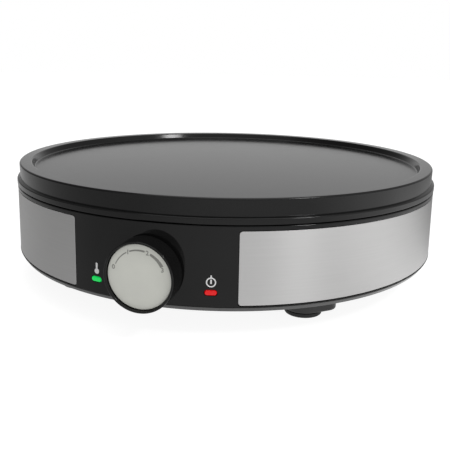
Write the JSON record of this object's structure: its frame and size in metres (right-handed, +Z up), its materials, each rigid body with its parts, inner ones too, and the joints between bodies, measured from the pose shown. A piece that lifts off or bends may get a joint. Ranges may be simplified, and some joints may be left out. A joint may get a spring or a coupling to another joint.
{
  "type": "electric griddle",
  "caption": "Round electric griddle: cast non-stick plate with a raised rim on a low black housing with steel side panels, a turning front dial, two pilot lamps and rubber feet.",
  "frame": {"origin": "middle of the object's box at table level, under the feet; the round body's own axis is 5.90 mm behind it in +Y", "axes": "+Z up, the dial faces -Y, +X is to the right of a person who faces the dial"},
  "size_m": [0.332, 0.3502, 0.0877],
  "materials": {
    "black_plastic": "satin-gloss moulded black, heat-resistant",
    "base_plastic": "fine textured moulded black",
    "non_stick": "cast aluminium under a smooth semi-gloss dark non-stick coating",
    "brushed_steel": "stainless sheet brushed along its length",
    "dial_face": null,
    "rubber": "matt dark rubber",
    "zinc_steel": "zinc-plated steel",
    "element_steel": "dark annealed tubular sheath",
    "aluminised_steel": "aluminised steel sheet",
    "ceramic": "off-white ceramic",
    "copper": "drawn copper",
    "glass_sleeve": "woven glass sleeve",
    "green_lens": "translucent green lamp lens",
    "red_lens": "translucent red lamp lens",
    "brown_lead": "silicone insulation",
    "blue_lead": "silicone insulation",
    "white_lead": "silicone insulation"
  },
  "bodies": {
    "body": {"griddle_plate": "non_stick", "heating_element": "element_steel", "element_terminal_live": "zinc_steel", "element_terminal_neutral": "zinc_steel", "heat_shield": "aluminised_steel", "housing_ring": "black_plastic", "steel_panel_right": "brushed_steel", "steel_panel_left": "brushed_steel", "base_cover": "base_plastic", "dial_bezel": "black_plastic", "lamp_lens_green": "green_lens", "lamp_lens_red": "red_lens", "lamp_holder_green": "ceramic", "lamp_holder_red": "ceramic", "thermostat_body": "ceramic", "thermostat_bracket": "zinc_steel", "bracket_screw_1": "zinc_steel", "bracket_screw_2": "zinc_steel", "thermostat_bulb": "copper", "bulb_clip": "aluminised_steel", "thermal_fuse": "glass_sleeve", "fuse_clip": "aluminised_steel", "terminal_block": "ceramic", "terminal_screw": "zinc_steel", "cord_gland": "base_plastic", "lead_live": "brown_lead", "lead_neutral": "blue_lead", "lead_thermostat": "white_lead", "lead_fuse": "white_lead", "lead_lamp_green": "white_lead", "lead_lamp_red": "white_lead", "foot_front_right": "base_plastic", "foot_pad_front_right": "rubber", "foot_screw_front_right": "zinc_steel", "foot_front_left": "base_plastic", "foot_pad_front_left": "rubber", "foot_screw_front_left": "zinc_steel", "foot_rear_right": "base_plastic", "foot_pad_rear_right": "rubber", "foot_screw_rear_right": "zinc_steel", "foot_rear_left": "base_plastic", "foot_pad_rear_left": "rubber", "foot_screw_rear_left": "zinc_steel", "base_screw_1": "zinc_steel", "base_screw_2": "zinc_steel", "base_screw_3": "zinc_steel", "base_screw_4": "zinc_steel", "base_screw_5": "zinc_steel", "base_screw_6": "zinc_steel", "plate_screw_1": "zinc_steel", "plate_screw_2": "zinc_steel", "plate_screw_3": "zinc_steel", "plate_screw_4": "zinc_steel"},
    "dial": {"dial_knob": "black_plastic", "dial_face": "dial_face", "dial_spring_clip": "zinc_steel", "thermostat_shaft": "zinc_steel"}
  },
  "joints": [
    {"name": "dial_turn", "type": "hinge", "parent": "body", "child": "dial", "pos_m": [0, -0.1641, 0.0421], "axis": [0, -1, 0], "range_deg": [-72, 72]}
  ]
}
